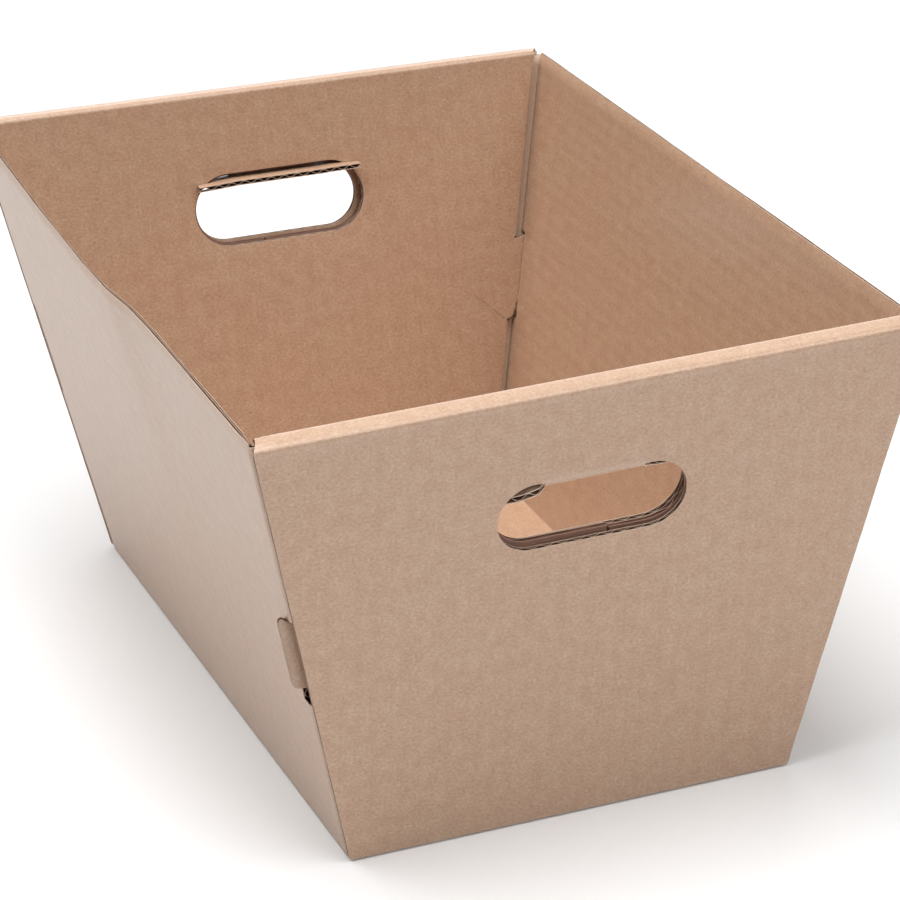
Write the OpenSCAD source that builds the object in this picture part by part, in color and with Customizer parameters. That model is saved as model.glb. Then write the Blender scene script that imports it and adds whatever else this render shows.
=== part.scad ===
// Flared carrying tray folded from one die-cut sheet of corrugated board.
// Both ends are double: the outer panel rolls over a flat rim and comes down inside as the inner panel,
// with the side walls' corner flaps held between the two. Lock tabs on the inner panels stick out through
// slots in the side walls. Each end has a hand hole, whose upper half is a tongue folded inwards.
// Origin at the centre of the underside, +Z up, long side along Y.

/* [Tray] */
// Length of the floor, measured between the folds of the ends
bottom_length = 323; // [240:1:370]
// Width of the floor, measured between the folds of the sides
bottom_width = 195; // [150:1:250]
// Length across the top, measured between the outer rim creases
top_length = 392; // [330:1:500]
// Width across the top at the rims
top_width = 280; // [230:1:340]
// Height of the outer rim crease above the table
height = 205; // [180:1:260]

/* [Board] */
// Thickness of the corrugated board
board = 3; // [2:0.1:4]
// Outside radius of a fold, where a crease presses the board together
fold_radius = 2.2; // [1.5:0.1:2.8]
// How far a crease line is pressed into each face of the board
score_depth = 0.15; // [0.05:0.05:0.4]
// Air between two layers of an end
layer_gap = 0.6; // [0.3:0.1:1.2]

/* [Walls] */
// How far the side walls' top edges lie under the outer rim crease
side_drop = 0.8; // [0:0.1:6]
// Distance of the joint between two corner flaps from the middle of an end
flap_joint = 9; // [0:1:15]
// Air between the two corner flaps of an end
flap_joint_gap = 1; // [0.5:0.1:3]
// Air between an inner panel's slanted edge and the side wall
panel_gap = 2; // [1:0.1:5]
// Air between the floor and the edges that stand on it
floor_gap = 0.4; // [0.2:0.1:1]

/* [Hand holes] */
// Length of a hand hole in the outer panel
hole_length = 80; // [65:1:95]
// Height of a hand hole in the outer panel
hole_height = 30.5; // [25:0.5:36]
// Distance of a hand hole's middle from the floor fold, along the end
hole_rise = 152; // [130:1:160]
// How far the hole in the corner flaps stands back from the hole in the outer panel
flap_hole_margin = 0.8; // [0.5:0.1:3]
// How far the hole in the inner panel stands back from the hole in the outer panel
panel_hole_margin = 1.8; // [1:0.1:4]
// Length of the cut at each end of a tongue's fold
hinge_cut = 4; // [1:0.5:8]
// Inside radius of a tongue's fold, which is bent without a crease
tongue_radius = 0.6; // [0.5:0.1:1.5]
// Air around a tongue where it passes the layers of an end
tongue_clearance = 0.4; // [0.2:0.1:0.5]

/* [Lock tabs] */
// Distance of a tab's lower root from the floor fold, along the end
tab_rise = 79; // [60:1:90]
// Height of a tab at its root
tab_height = 39; // [30:1:45]
// How much higher a tab's lower corner sits at its free end
tab_lead = 8; // [2:0.5:12]
// How much higher a tab's upper corner sits at its free end
tab_hook = 2; // [0:0.5:4]
// How far a tab stands out of the side wall
tab_reach = 5; // [2:0.5:8]
// Width of the cut across a tab's two outer corners
tab_corner = 2; // [1:0.5:4]
// Radius of the nick at each root of a tab
tab_nick = 1.4; // [0.8:0.1:2.5]
// Air around a tab in its slot
slot_clearance = 0.5; // [0.3:0.1:1.2]

/* [Hidden] */
$fn = 48;
kraft = "#c19a72";

// Facets of the arc of one fold
arc_steps = 8;
// Length of the strip of a crease that lies inside the panel beside it
lap = 1.2;
// How far a cutter runs past what it cuts
overrun = 5;

end_lean = atan((top_length - bottom_length) / 2 / height);
side_lean = atan((top_width - bottom_width) / 2 / height);
end_slant = height / cos(end_lean);
side_slant = (height - side_drop) / cos(side_lean);
// Outside radius of a tongue's fold
tongue_bend = board + tongue_radius;
// Depth of the corner flaps and of the inner panel behind the outer face of an end
flap_depth = board + layer_gap;
panel_depth = 2 * flap_depth;
stack = panel_depth + board;
// Turns of the floor folds, and of the corner fold between a side wall and its flap
end_turn = 90 - end_lean;
side_turn = 90 - side_lean;
corner_turn = acos(sin(end_lean) * sin(side_lean));
// Slopes of the slanted edges, in the plane of an end and in the plane of a side
end_edge = atan(cos(end_lean) * tan(side_lean));
side_edge = atan(cos(side_lean) * tan(end_lean));
// Height at which the corner folds begin, and how far they end under the side walls' top edges
corner_start = board + fold_radius;
corner_drop = board;
hole_top = hole_rise + hole_height / 2;
hinge_length = hole_length - hole_height - 2 * hinge_cut;
tongue_arc = (tongue_bend - board / 2) * PI / 2;

// Distance from a fold's sharp outer corner to where the flat panel begins
function setback(turn) = fold_radius * tan(turn / 2);
// Height above the table of a point up the slant of an end, at a depth behind its outer face
function end_z(rise, depth) = rise * cos(end_lean) + depth * sin(end_lean);
// Slant of a point of an end at a depth, from its height above the table
function end_rise(z, depth) = (z - depth * sin(end_lean)) / cos(end_lean);
// Half width between the side walls' outer faces, at a place on an end
function half_width(rise, depth) = bottom_width / 2 + end_z(rise, depth) * tan(side_lean);
// Half length to a depth behind the ends' outer faces, up the slant of a side
function half_length(rise, depth) =
    bottom_length / 2 + rise * cos(side_lean) * tan(end_lean) - depth / cos(end_lean);
// Half width of the inner panel
function half_panel(rise) = half_width(rise, panel_depth) - board / cos(side_lean) - panel_gap;
// Points of an arc about a centre
function arc(centre, radius, from, to) =
    [for (i = [0:arc_steps]) let (a = from + (to - from) * i / arc_steps)
        centre + radius * [cos(a), sin(a)]];

// Puts a wall drawn flat, foot on the X axis and inner face up, in its place round the floor
module wall_place(turn, run, lean) {
    rotate([0, 0, turn]) translate([0, -run / 2, 0]) rotate([90 - lean, 0, 180]) children();
}

module both_sides() {
    children();
    mirror([1, 0, 0]) children();
}

// Section of a fold: it comes along +X with its outer face on the axis, turns to +Y and goes on. An inner
// radius under zero gives a crease, whose two panels meet in a sharp corner just inside
module fold_section(turn, radius, inner) {
    centre = [0, radius];
    along = lap * [cos(turn), sin(turn)];
    out_arc = arc(centre, radius - score_depth, -90, turn - 90);
    in_arc = inner > 0 ? arc(centre, inner, turn - 90, -90) : [centre - inner * [-tan(turn / 2), 1]];
    polygon(concat([[-lap, score_depth]], out_arc, [out_arc[arc_steps] + along],
        [centre - inner * [-sin(turn), cos(turn)] + along], in_arc, [[-lap, radius - inner]]));
}

// The fold as a straight bar, its axis along Z
module fold(length, turn, radius = fold_radius, inner = -score_depth) {
    linear_extrude(height = length, center = true) fold_section(turn, radius, inner);
}

module slot_outline(length, width) {
    square([length - width, width], center = true);
    for (side = [-1, 1]) translate([side * (length - width) / 2, 0]) circle(d = width);
}

module hand_hole(margin) {
    translate([0, hole_rise]) slot_outline(hole_length + 2 * margin, hole_height + 2 * margin);
}

// Outer panel of an end, up to the rim crease
module outer_panel() {
    foot = setback(end_turn);
    head = end_slant - fold_radius;
    linear_extrude(height = board) difference() {
        polygon([[-half_width(foot, 0), foot], [half_width(foot, 0), foot],
            [half_width(head, 0), head], [-half_width(head, 0), head]]);
        hand_hole(0);
    }
    translate([0, foot, 0]) rotate([90, 0, -90]) fold(bottom_width, end_turn);
}

// Rim over the three layers, with its two creases; its ends carry on the slanted edges of the outer panel
// and run in from there to the edges of the inner panel
module rim() {
    foot = end_slant - fold_radius - lap;
    outer = half_width(end_slant, 0) - score_depth;
    low = half_width(foot, 0) - score_depth;
    inner = half_panel(end_slant);
    difference() {
        intersection() {
            union() {
                translate([0, end_slant - fold_radius, 0]) rotate([90, 0, 90]) fold(2 * outer, 90);
                translate([-outer, end_slant - board, fold_radius])
                    cube([2 * outer, board, stack - 2 * fold_radius]);
                translate([0, end_slant, stack - fold_radius]) rotate([180, -90, 0]) fold(2 * outer, 90);
            }
            linear_extrude(height = stack) polygon([[-low, foot], [low, foot],
                [outer, end_slant], [-outer, end_slant]]);
        }
        both_sides() translate([0, foot, 0]) rotate([-90, 0, 0]) mirror([0, 1, 0])
            linear_extrude(height = end_slant - foot + overrun)
                polygon([[outer, 0], [inner, panel_depth], [inner, stack + overrun],
                    [outer + overrun, stack + overrun], [outer + overrun, 0]]);
    }
}

// Outline of the lock tab on the right edge of the inner panel
module lock_tab() {
    low = tab_rise;
    high = tab_rise + tab_height;
    out_low = low + tab_lead;
    out_high = high + tab_hook;
    tip_low = half_width(out_low, panel_depth) + tab_reach;
    tip_high = half_width(out_high, panel_depth) + tab_reach;
    slope = tab_corner * tan(end_edge);
    polygon([[0, low], [half_panel(low), low],
        [tip_low - tab_corner, out_low], [tip_low + slope, out_low + tab_corner],
        [tip_high - slope, out_high - tab_corner], [tip_high - tab_corner, out_high],
        [half_panel(high), high], [0, high]]);
}

// Inner panel of an end, hanging from the rim's inner crease to the floor
module inner_panel() {
    foot = end_rise(board + floor_gap, panel_depth);
    head = end_slant - fold_radius;
    translate([0, 0, panel_depth]) linear_extrude(height = board) difference() {
        union() {
            polygon([[-half_panel(foot), foot], [half_panel(foot), foot],
                [half_panel(head), head], [-half_panel(head), head]]);
            both_sides() lock_tab();
        }
        both_sides() for (root = [tab_rise, tab_rise + tab_height])
            translate([half_panel(root), root]) circle(r = tab_nick);
        hand_hole(panel_hole_margin);
    }
}

// Corner flap of the side wall at the right of an end, reaching to the flaps' joint
module corner_flap(joint) {
    inset = setback(corner_turn) / cos(end_edge);
    foot = end_rise(corner_start, flap_depth);
    head = end_slant - board - layer_gap;
    translate([0, 0, flap_depth]) linear_extrude(height = board) difference() {
        polygon([[joint, foot], [half_width(foot, flap_depth) - inset, foot],
            [half_width(head, flap_depth) - inset, head], [joint, head]]);
        hand_hole(flap_hole_margin);
    }
}

// Tongue of the hand hole, folded in at the top of the hole. Beside the fold it is cut free, so there it
// stays flat up to the cut. It is nicked where it passes the layers of the end.
module tongue() {
    reach = hole_height / 2 - tongue_arc;
    slit = hinge_length / 2 + tongue_clearance;
    translate([0, hole_top, 0]) rotate([90, 0, -90])
        fold(hinge_length, 90, tongue_bend, tongue_radius + score_depth);
    difference() {
        translate([0, hole_top - tongue_bend + board, tongue_bend]) rotate([90, 0, 0])
            linear_extrude(height = board) intersection() {
                translate([0, reach]) slot_outline(hole_length, hole_height);
                union() {
                    translate([-hole_length / 2, 0]) square([hole_length, reach]);
                    both_sides() translate([slit, -tongue_arc]) square([hole_length, tongue_arc + lap]);
                }
            }
        tongue_room(0, 0);
        tongue_room(flap_depth, flap_hole_margin);
        tongue_room(panel_depth, panel_hole_margin);
    }
}

// What a layer with a hole takes away from a tongue that passes it
module tongue_room(depth, margin) {
    translate([0, 0, depth - tongue_clearance]) linear_extrude(height = board + 2 * tongue_clearance)
        difference() {
            translate([-hole_length, hole_rise]) square([2 * hole_length, hole_height]);
            hand_hole(margin - tongue_clearance);
        }
}

module end_wall() {
    outer_panel();
    rim();
    inner_panel();
    tongue();
    corner_flap(-flap_joint + flap_joint_gap / 2);
    mirror([1, 0, 0]) corner_flap(flap_joint + flap_joint_gap / 2);
}

// Slot for a lock tab, at the right end of a side wall
module tab_slot() {
    near = panel_depth - slot_clearance;
    far = stack + slot_clearance;
    low = end_z(tab_rise, panel_depth) / cos(side_lean);
    high = end_z(tab_rise + tab_height + tab_hook, stack) / cos(side_lean) + slot_clearance;
    polygon([[half_length(low, near), low], [half_length(high, near), high],
        [half_length(high, far), high], [half_length(low, far), low]]);
}

// Fold between a side wall and its corner flap, at the right end of the wall
module corner_fold() {
    low = corner_start / cos(side_lean);
    high = side_slant - corner_drop;
    middle = (low + high) / 2;
    back = setback(corner_turn);
    translate([half_length(middle, flap_depth) - back * cos(side_edge), middle + back * sin(side_edge), 0])
        rotate([90, 0, -side_edge]) fold((high - low) / cos(side_edge), corner_turn);
}

// Side wall with its floor fold and corner folds; the slots cut into the corner folds too
module side_wall() {
    foot = setback(side_turn);
    inset = setback(corner_turn) / cos(side_edge);
    difference() {
        union() {
            linear_extrude(height = board) polygon([
                [-half_length(foot, flap_depth) + inset, foot],
                [half_length(foot, flap_depth) - inset, foot],
                [half_length(side_slant, flap_depth) - inset, side_slant],
                [-half_length(side_slant, flap_depth) + inset, side_slant]]);
            both_sides() corner_fold();
        }
        both_sides() translate([0, 0, -overrun]) linear_extrude(height = board + 2 * overrun) tab_slot();
    }
    translate([0, foot, 0]) rotate([90, 0, -90]) fold(bottom_length - 2 * flap_depth, side_turn);
}

module floor_panel() {
    size = [bottom_width - 2 * setback(side_turn), bottom_length - 2 * setback(end_turn), board];
    translate([-size.x / 2, -size.y / 2, 0]) cube(size);
}

module tray() color(kraft) {
    floor_panel();
    for (turn = [0, 180]) wall_place(turn, bottom_length, end_lean) end_wall();
    for (turn = [90, 270]) wall_place(turn, bottom_width, side_lean) side_wall();
}

tray();
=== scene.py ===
# %% [markdown]
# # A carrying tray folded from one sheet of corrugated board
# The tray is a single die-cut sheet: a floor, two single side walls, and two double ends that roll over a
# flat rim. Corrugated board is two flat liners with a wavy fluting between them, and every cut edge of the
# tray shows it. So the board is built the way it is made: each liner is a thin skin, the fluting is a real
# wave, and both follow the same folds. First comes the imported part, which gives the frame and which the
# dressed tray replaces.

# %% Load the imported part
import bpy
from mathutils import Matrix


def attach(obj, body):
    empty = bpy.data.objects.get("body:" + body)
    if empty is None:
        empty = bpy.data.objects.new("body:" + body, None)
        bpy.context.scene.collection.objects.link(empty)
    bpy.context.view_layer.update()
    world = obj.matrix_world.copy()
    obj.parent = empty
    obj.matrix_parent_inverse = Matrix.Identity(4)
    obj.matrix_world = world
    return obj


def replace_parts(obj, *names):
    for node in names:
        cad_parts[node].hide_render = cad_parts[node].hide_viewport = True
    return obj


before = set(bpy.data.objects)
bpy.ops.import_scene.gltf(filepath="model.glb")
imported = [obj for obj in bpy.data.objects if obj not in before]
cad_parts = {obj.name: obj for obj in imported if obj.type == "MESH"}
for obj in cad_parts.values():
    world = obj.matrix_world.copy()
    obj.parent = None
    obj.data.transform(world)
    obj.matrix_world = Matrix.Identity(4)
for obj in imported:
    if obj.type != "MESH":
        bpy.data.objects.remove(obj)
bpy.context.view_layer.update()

from types import SimpleNamespace

import bpy
import numpy as np
from mathutils import Matrix, Vector
from numpy import array, concatenate as join, cos, linspace, maximum, minimum, pi, sin, sqrt

scene = bpy.context.scene

# %% [markdown]
# ## Sizes
# The construction's own sizes are repeated here in millimetres, and the meshes are scaled to metres at the
# end. `rise` always means the distance up a leaning wall from its floor fold, and `depth` the distance
# behind the wall's outer face.

# %% Sizes in millimetres
MM = 0.001
bottom_length, bottom_width = 323.0, 195.0
top_length, top_width, height = 392.0, 280.0, 205.0
board, bend, layer_gap = 3.0, 2.2, 0.6
side_drop, corner_drop = 0.8, 1.0
flap_joint, flap_joint_gap = 9.0, 1.0
panel_gap, floor_gap = 2.0, 0.4
hole_length, hole_height, hole_rise = 80.0, 30.5, 152.0
flap_hole_margin, panel_hole_margin = 0.8, 1.8
tongue_radius, tongue_clearance = 0.6, 0.4
tab_rise, tab_height, tab_lead, tab_hook, tab_tip = 79.0, 39.0, 8.0, 2.0, 4.0
tab_corner, tab_nick, slot_clearance = 2.0, 1.4, 0.5

flap_depth = board + layer_gap
panel_depth = 2 * flap_depth
stack = panel_depth + board
end_lean = np.arctan((top_length - bottom_length) / 2 / height)
side_lean = np.arctan((top_width - bottom_width) / 2 / height)
end_slant = height / cos(end_lean)
side_slant = (height - side_drop) / cos(side_lean)
end_turn, side_turn = pi / 2 - end_lean, pi / 2 - side_lean
corner_turn = np.arccos(sin(end_lean) * sin(side_lean))
end_edge = np.arctan(cos(end_lean) * np.tan(side_lean))
side_edge = np.arctan(cos(side_lean) * np.tan(end_lean))
head = end_slant - bend
hinge_half = (hole_length - hole_height) / 2
hole_radius = hole_height / 2
hole_top, tab_top = hole_rise + hole_radius, tab_rise + tab_height


def setback(turn):
    """Distance from a fold's sharp outer corner to where the flat panel begins."""
    return bend * np.tan(turn / 2)


def end_z(rise, depth):
    """Height above the table of a place on an end."""
    return rise * cos(end_lean) + depth * sin(end_lean)


def half_width(rise, depth=0.0):
    """Half the width between the side walls' outer faces, at a place on an end."""
    return bottom_width / 2 + end_z(rise, depth) * np.tan(side_lean)


def half_length(rise, depth):
    """Half the length to a depth behind the ends' outer faces, at a rise on a side wall."""
    return bottom_length / 2 + rise * cos(side_lean) * np.tan(end_lean) - depth / cos(end_lean)


def half_panel(rise):
    """Half the width of the inner panel of an end."""
    return half_width(rise, panel_depth) - board / cos(side_lean) - panel_gap


print("lean of ends and sides, degrees:", np.degrees([end_lean, side_lean]).round(2))

# %% [markdown]
# ## From a flat panel to its place
# A panel is drawn flat, x along its foot, y up the slant and z inwards. Leaning it and turning it round the
# tray's upright axis puts it in place. A hand-folded tray is never quite square, so one more step, `settle`,
# moves the four upper corners by a few millimetres and everything between them in proportion.


# %% Placing
def spin(vectors, turn):
    """Turns vectors about the upright axis by a number of degrees."""
    c, s = cos(np.radians(turn)), sin(np.radians(turn))
    x, y, z = np.moveaxis(vectors, -1, 0)
    return np.stack([x * c - y * s, x * s + y * c, z], -1)


def aim(x, y, z, turn, lean):
    """A direction of a flat panel in the frame of the tray."""
    x, y, z = np.broadcast_arrays(*map(np.asarray, (x, y, z)))
    leaning = np.stack([-x, z * cos(lean) - y * sin(lean), y * cos(lean) + z * sin(lean)], -1)
    return spin(leaning.astype(float), turn)


def stand(x, y, z, turn, run, lean):
    """A point of a flat panel, in the frame of the tray: leaned out, moved to its fold and turned."""
    return aim(x, y, z, turn, lean) + spin(array([0.0, -run / 2, 0.0]), turn)


def lay_flat(points, turn, run, lean):
    """The reverse of stand: x and y of a point on a panel."""
    x, y, z = np.moveaxis(spin(points, -turn), -1, 0)
    return -x, z * cos(lean) - (y + run / 2) * sin(lean)


def on_end(x, y, z, turn):
    """A point of a panel of an end."""
    return stand(x, y, z, turn, bottom_length, end_lean)


def on_side(x, y, z, turn):
    """A point of a side wall."""
    return stand(x, y, z, turn, bottom_width, side_lean)


# how far the upper corners sit from square: front left, front right, back left and back right
end_shift = array([[-1.2, -0.1, -0.9], [1.7, 0.6, 1.0], [-0.2, 0.5, 3.1], [-3.1, 0.0, -3.5]])
side_shift = array([[-2.0, -0.1, 0.2], [1.7, 0.6, 1.0], [-0.2, 0.5, 3.1], [-0.9, 0.0, -4.4]])
still_height = 6.0


def settle(points, shift):
    """Each point moves by the mean of the corner shifts, weighted by its place across, along and up."""
    x, y, z = np.moveaxis(points, -1, 0)
    a = np.clip(x / (bottom_width + 2 * z * np.tan(side_lean)) + 0.5, 0, 1)[..., None]
    b = np.clip(y / (bottom_length + 2 * z * np.tan(end_lean)) + 0.5, 0, 1)[..., None]
    up = maximum(z - still_height, 0)[..., None] / (height - still_height)
    front = shift[0] * (1 - a) + shift[1] * a
    back = shift[2] * (1 - a) + shift[3] * a
    return points + (front * (1 - b) + back * b) * up


# %% [markdown]
# ## A leaf of board
# Every panel is a grid of points on the board's outer face with the direction into the board at each point,
# so a skin at any depth is `base + depth * into`. Near a cut edge the die has pressed the board together:
# `crush` draws all depths towards the middle there. Beside the rim's creases the board is pressed towards
# its outer face: that is `pinch`. A slab between two depths is closed along all its open edges. Slabs are
# welded where panels meet, and the two inside walls of such a seam go.

# %% Leaves, slabs and welding
edge_steps = array([0.0, 0.9, 2.8])
press_reach, edge_fade = 1.6, 6.0
crease_pinch, crease_reach = 0.4, 1.6
cut_wear = 1.6


def leaf(base, into, flat, crush=0, pinch=0, wear=0.0, keep=None, slip=0.0, cut=cut_wear, shift=end_shift):
    """base, into: points and inward directions (rows, columns, 3). flat: place on the flat sheet. The
    paleness
    argument: above 0 pale, from stretched fibres, and also painted highlight and painted light on the rim,
    its
    crease and the flaps beside their folds; below 0 torn and brown; and cut the same for the cut edges. slip:
    shift of the outer face against the inner one, for a slanted cut."""
    size = base.shape[:2]
    whole = np.ones((size[0] - 1, size[1] - 1), bool)
    return SimpleNamespace(
        base=base, into=np.broadcast_to(into, base.shape), slip=np.broadcast_to(slip, base.shape),
        flat=np.stack(np.broadcast_arrays(*flat), -1) + np.zeros((*size, 2)),
        crush=np.broadcast_to(crush, size), pinch=np.broadcast_to(pinch, size),
        wear=np.broadcast_to(wear, size), keep=whole if keep is None else keep, cut=cut, shift=shift)


def at_depth(part, depth):
    """Points of a leaf at a depth: base + pressed depth * into + slip, falling to none at the inner face."""
    depth = np.broadcast_to(depth, part.crush.shape)
    pressed = (board / 2 + (depth - board / 2) * (1 - part.crush)) * (1 - part.pinch)
    slid = part.slip * (1 - depth / board)[..., None]
    return settle(part.base + pressed[..., None] * part.into + slid, part.shift)


def slab(part, near, far):
    """A closed skin between two depths: its outer face, its inner face and a wall along each open edge."""
    front, back = at_depth(part, near), at_depth(part, far)
    rows, columns = front.shape[:2]
    count = rows * columns
    ids = np.arange(count).reshape(rows, columns)
    cells = np.stack([ids[:-1, :-1], ids[:-1, 1:], ids[1:, 1:], ids[1:, :-1]], -1)[part.keep]
    points = front.reshape(-1, 3)
    facing = np.cross(points[cells[:, 1]] - points[cells[:, 0]], points[cells[:, 3]] - points[cells[:, 0]])
    if np.sum(facing * part.into.reshape(-1, 3)[cells[:, 0]]) > 0:
        cells = cells[:, ::-1]
    tail, tip = cells, np.roll(cells, -1, axis=1)
    open_edge = ~np.isin(tail * count + tip, tip * count + tail)
    a, b = tail[open_edge], tip[open_edge]
    walls = np.stack([b, a, a + count, b + count], -1)
    faces = join([cells, cells[:, ::-1] + count, walls])
    wear = np.tile(part.wear.ravel(), 2)[faces]
    wear[len(faces) - len(walls):] = part.cut
    return SimpleNamespace(points=join([points, back.reshape(-1, 3)]), faces=faces,
                           flat=np.tile(part.flat.reshape(-1, 2), (2, 1))[faces], wear=wear)


def weld(slabs):
    """Joins slabs at equal points and drops each pair of faces that lie on each other inside the board."""
    starts = np.cumsum([0] + [len(s.points) for s in slabs[:-1]])
    points = join([s.points for s in slabs])
    faces = join([s.faces + start for s, start in zip(slabs, starts)])
    _, first, same = np.unique(np.round(points, 3), axis=0, return_index=True, return_inverse=True)
    faces = same.ravel()[faces]
    _, alike, copies = np.unique(np.sort(faces, 1), axis=0, return_inverse=True, return_counts=True)
    single = copies[alike.ravel()] == 1
    flat, wear = (join([getattr(s, name) for s in slabs])[single] for name in ("flat", "wear"))
    return SimpleNamespace(points=points[first], faces=faces[single], flat=flat, wear=wear)


def ease(x, low, high):
    """0 below low, 1 above high, and an even S between."""
    t = np.clip((x - low) / (high - low), 0, 1)
    return t * t * (3 - 2 * t)


def ripple(x, seed):
    """An uneven wave between about -1 and 1: three sines of lengths that don't divide each other."""
    waves = ((1.0, 7.3, 1.0), (0.7, 2.9, 2.1), (0.5, 1.27, 3.7))
    total = sum(share for share, _, _ in waves)
    return sum(share * sin(x / length + phase * seed) for share, length, phase in waves) / total


def pressed(distance, amount):
    """Crush of the board by its distance from a cut edge: amount at the edge, none a few millimetres in."""
    return amount * np.exp(-((distance / press_reach) ** 2))


def creased(distance):
    """Pinch of the board by its distance from a crease: full beside it, none a little further on."""
    return crease_pinch * (1 - ease(distance, 0, crease_reach))


print("board beside a crease of the rim:", round(board * (1 - creased(0)), 2), "mm")

# %% [markdown]
# ## Panels with a hand hole
# A panel with a hole is a grid too: one parameter runs round the hole, the other from the hole's edge to the
# panel's outline. The outline's corners and the ends of the folded tongue fall on grid lines, so the
# neighbouring folds can be welded on.

# %% Outlines round a hand hole
across_count, side_count, hinge_count, cut_count = 64, 44, 40, 3
across = linspace(-1, 1, across_count + 1)
hinge_columns = linspace(-hinge_half, hinge_half, hinge_count + 1)[cut_count:-cut_count]
fold_half = hinge_columns[-1]
hinge_fade = 2.5


def hole_loop(margin, lift=0.0):
    """Points round a hand hole, from its lower left, anticlockwise: foot, right end, head, left end."""
    radius = hole_radius + margin
    arcs = (across_count - hinge_count) // 2
    corner = linspace(pi / 4, pi / 2, arcs + 1)[:-1]
    left = np.stack([-hinge_half - radius * cos(corner), -radius * sin(corner)])
    straight = np.stack([linspace(-hinge_half, hinge_half, hinge_count + 1),
                         np.full(hinge_count + 1, -radius)])
    right = (left * [[-1], [1]])[:, ::-1]
    foot = join([left, straight, right], 1)
    turn = linspace(-pi / 4, pi / 4, side_count + 1)[1:-1]
    end = np.stack([hinge_half + radius * cos(turn), radius * sin(turn)])
    loop = join([foot, end, -foot, -end, foot[:, :1]], 1)
    return loop[0], loop[1] + hole_rise + lift


def panel_loop(foot, top, half, rises):
    """Points round a panel, to match hole_loop: along its foot, up its right edge, back along its head."""
    level, falls = np.ones(across_count + 1), rises[::-1]
    x = join([half(foot) * across, half(rises), -half(top) * across, -half(falls), [-half(foot)]])
    y = join([foot * level, rises, top * level, falls, [foot]])
    return x, y


def between(inner, outer, middle=7):
    """Grid from an inner curve to an outer one: straight lines, with rows close together at both ends."""
    length = np.hypot(outer[0] - inner[0], outer[1] - inner[1])
    share = edge_steps[:, None] / length
    inside = linspace(0, 1, middle + 1)[1:-1, None]
    last = share[-1]
    rows = join([share, last + inside * (1 - 2 * last), 1 - share[::-1]])
    return [i + (o - i) * rows for i, o in zip(inner, outer)]


def hole_distance(x, y, margin, lift=0.0):
    """Distance from the edge of a hand hole: that of a slot with round ends."""
    return np.hypot(maximum(abs(x) - hinge_half, 0), y - hole_rise - lift) - hole_radius - margin


def edge_distance(half, x, y):
    """Distance from a panel's slanted edge."""
    return (half(y) - abs(x)) * cos(end_edge)


def off_hinge(x, y):
    """0 along the fold of the tongue, 1 round the rest of the hole."""
    return np.where(y > hole_rise, ease(abs(x), fold_half, fold_half + hinge_fade), 1.0)


print("points round a hand hole:", len(hole_loop(0)[0]))

# %% [markdown]
# ## The double ends
# An end is one strip: fold, outer panel, rim with its two creases, inner panel. The rim is a profile in the
# plane of `y` and `z`, carried across the tray. The inner panel's slanted edges are cut a little askew, so
# the cut can be seen from inside the tray. The tongue is bent at the middle of the hole's upper edge and cut
# free beside the bend, so its ends lie flat and show their cut edge through the hole.

# %% Outer panel and rim
arc_steps = 8
quarter = linspace(0, pi / 2, arc_steps)
rim_flat = stack - 2 * bend
rim_length = pi * bend + rim_flat
foot_rise = setback(end_turn)
panel_foot = (board + floor_gap - panel_depth * sin(end_lean)) / cos(end_lean)
floor_half_width = bottom_width / 2 - setback(side_turn)
floor_half_length = bottom_length / 2 - setback(end_turn)
# The crease and rim paleness below is partly stretched fibres and partly painted highlight: the rim's top and
# its outer crease are painted paler, as the light from above makes them look.
floor_wear, corner_wear, crease_wear, hinge_wear, rim_pale_and_highlight = 0.6, 0.3, 0.2, 0.5, 0.12


def floor_fold(turn, shares, run, lean, fold_turn, floor_half, wall_half):
    """A floor fold: an arc of the bend radius from the floor up to a wall, carried along the shares."""
    t = linspace(0, 1, arc_steps)[:, None]
    angle = fold_turn * (1 - t)
    x = (floor_half + (wall_half - floor_half) * t) * shares
    y, z = setback(fold_turn) - bend * sin(angle), bend - bend * cos(angle)
    base = stand(x, y, z, turn, run, lean)
    into = aim(0 * x, sin(angle), cos(angle), turn, lean)
    return leaf(base, into, (x, setback(fold_turn) - bend * angle), wear=floor_wear * sin(pi * t))


def flat_leaf(turn, x, y, depth, flat, into=1, **options):
    """A leaf of a flat panel of an end, at a depth, facing out, or facing in for into -1."""
    return leaf(on_end(x, y, depth + 0 * x, turn), aim(0, 0, into, turn, end_lean), flat, **options)


def outer_leaf(turn, x, y, crush, wear=0.0):
    """A leaf of the outer panel, with the rim's crease along its head."""
    return flat_leaf(turn, x, y, 0, (x, y), crush=crush, pinch=creased(head - y), wear=wear)


def outer_panel(turn):
    """Outer panel: the grid between the hand hole and a trapezium from the floor fold to the rim."""
    rises = linspace(foot_rise, head, side_count + 1)[1:-1]
    x, y = between(hole_loop(0), panel_loop(foot_rise, head, half_width, rises))
    to_fold, to_hole = minimum(y - foot_rise, head - y), hole_distance(x, y, 0)
    at_side = pressed(edge_distance(half_width, x, y), 0.22 + 0.1 * ripple(y, turn + 1))
    at_hole = pressed(to_hole, 0.2 + 0.12 * ripple(x + y, turn))
    crush = maximum(at_side * ease(to_fold, 0, edge_fade), at_hole * off_hinge(x, y))
    # Paler under the rim's crease, partly stretched fibres and partly the crease's painted highlight; paler
    # along the tongue's fold.
    wear = pressed(head - y, crease_wear) + pressed(to_hole, hinge_wear) * (1 - off_hinge(x, y))
    return outer_leaf(turn, x, y, crush, wear)


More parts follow.
